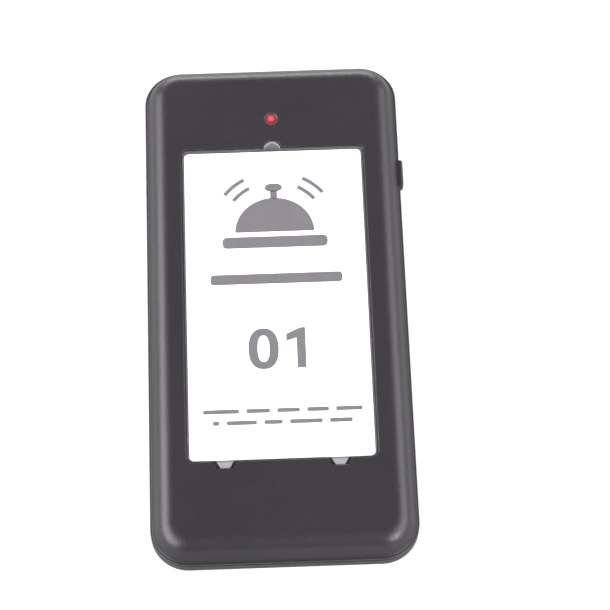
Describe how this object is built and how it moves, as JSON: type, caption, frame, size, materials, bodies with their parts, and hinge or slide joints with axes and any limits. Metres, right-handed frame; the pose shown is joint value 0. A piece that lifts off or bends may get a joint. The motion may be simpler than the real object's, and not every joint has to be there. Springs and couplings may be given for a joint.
{
  "type": "guest pager",
  "caption": "Slim phone-shaped guest pager with a rounded black case, a clear window over a numbered card, a red lamp, a side button and a vibration motor.",
  "frame": {"origin": "centre of the flat back face that the pager rests on", "axes": "+Z out of the front face, +Y along the length towards the lamp end, +X towards the side with the button"},
  "size_m": [0.0568, 0.116, 0.0086],
  "materials": {
    "case_black": "moulded ABS with a fine leather-like grain, satin on the rounded edges",
    "window_clear": "clear polished acrylic",
    "card_paper": "smooth coated white card with grey print",
    "lamp_red": "tinted light pipe, lit red",
    "button_black": "fine satin moulding",
    "board_green": "glass-fibre board with green solder mask",
    "switch_steel": "stamped plated steel",
    "plunger_black": "smooth",
    "led_body": "clear resin over a white body",
    "chip_black": "moulded epoxy",
    "can_steel": "drawn can, satin",
    "capacitor_tan": "fired ceramic with tinned ends",
    "resistor_dark": "glazed film with tinned ends",
    "buzzer_black": "moulded",
    "coil_copper": "enamelled copper wire",
    "connector_ivory": "moulded nylon",
    "wire_red": "soft insulation",
    "wire_black": "soft insulation",
    "pouch_foil": "laminated foil pouch, satin",
    "tape_amber": "polyimide film",
    "foam_white": "double-sided foam",
    "motor_steel": "drawn steel",
    "weight_steel": "sintered heavy metal",
    "sleeve_rubber": "moulded rubber",
    "wire_motor": "soft insulation, one red and one blue",
    "contact_gold": "gold-plated",
    "wire_charge": "soft insulation, one red and one black",
    "screw_steel": "zinc-plated steel"
  },
  "bodies": {
    "case": {"front_cover": "case_black", "rear_cover": "case_black", "number_card": "card_paper", "light_pipe": "lamp_red", "circuit_board": "board_green", "tact_switch": "switch_steel", "indicator_led": "led_body", "microcontroller": "chip_black", "radio_chip": "chip_black", "crystal_can": "can_steel", "charge_chip": "chip_black", "voltage_regulator": "chip_black", "drive_transistors": "chip_black", "chip_capacitors": "capacitor_tan", "chip_resistors": "resistor_dark", "buzzer": "buzzer_black", "antenna_coil": "coil_copper", "battery_socket": "connector_ivory", "battery_plug": "connector_ivory", "battery_lead_red": "wire_red", "battery_lead_black": "wire_black", "battery_cell": "pouch_foil", "battery_protection_board": "board_green", "battery_tape": "tape_amber", "battery_pad": "foam_white", "motor_case": "motor_steel", "motor_sleeve": "sleeve_rubber", "motor_leads": "wire_motor", "charge_board": "board_green", "charge_contacts": "contact_gold", "charge_leads": "wire_charge", "case_screws": "screw_steel"},
    "window": {"card_window": "window_clear"},
    "button": {"power_button": "button_black"},
    "plunger": {"switch_plunger": "plunger_black"},
    "rotor": {"motor_weight": "weight_steel"}
  },
  "joints": [
    {"name": "button_press", "type": "slide", "parent": "case", "child": "button", "axis": [-1, 0, 0], "range_m": [0, 0.0004], "stiffness_N_per_m": 1500, "springref_m": -0.0002},
    {"name": "plunger_press", "type": "slide", "parent": "case", "child": "plunger", "axis": [-1, 0, 0], "range_m": [0, 0.0004]},
    {"name": "motor_spin", "type": "hinge", "parent": "case", "child": "rotor", "pos_m": [-0.0234, -0.0505, 0.0042], "axis": [1, 0, 0], "continuous": true},
    {"name": "window_open", "type": "hinge", "parent": "case", "child": "window", "pos_m": [0, -0.03855, 0.0086], "axis": [1, 0, 0], "range_deg": [0, 75]}
  ],
  "couplings": [
    {"joint": "plunger_press", "follows": "button_press", "ratio": 1}
  ]
}
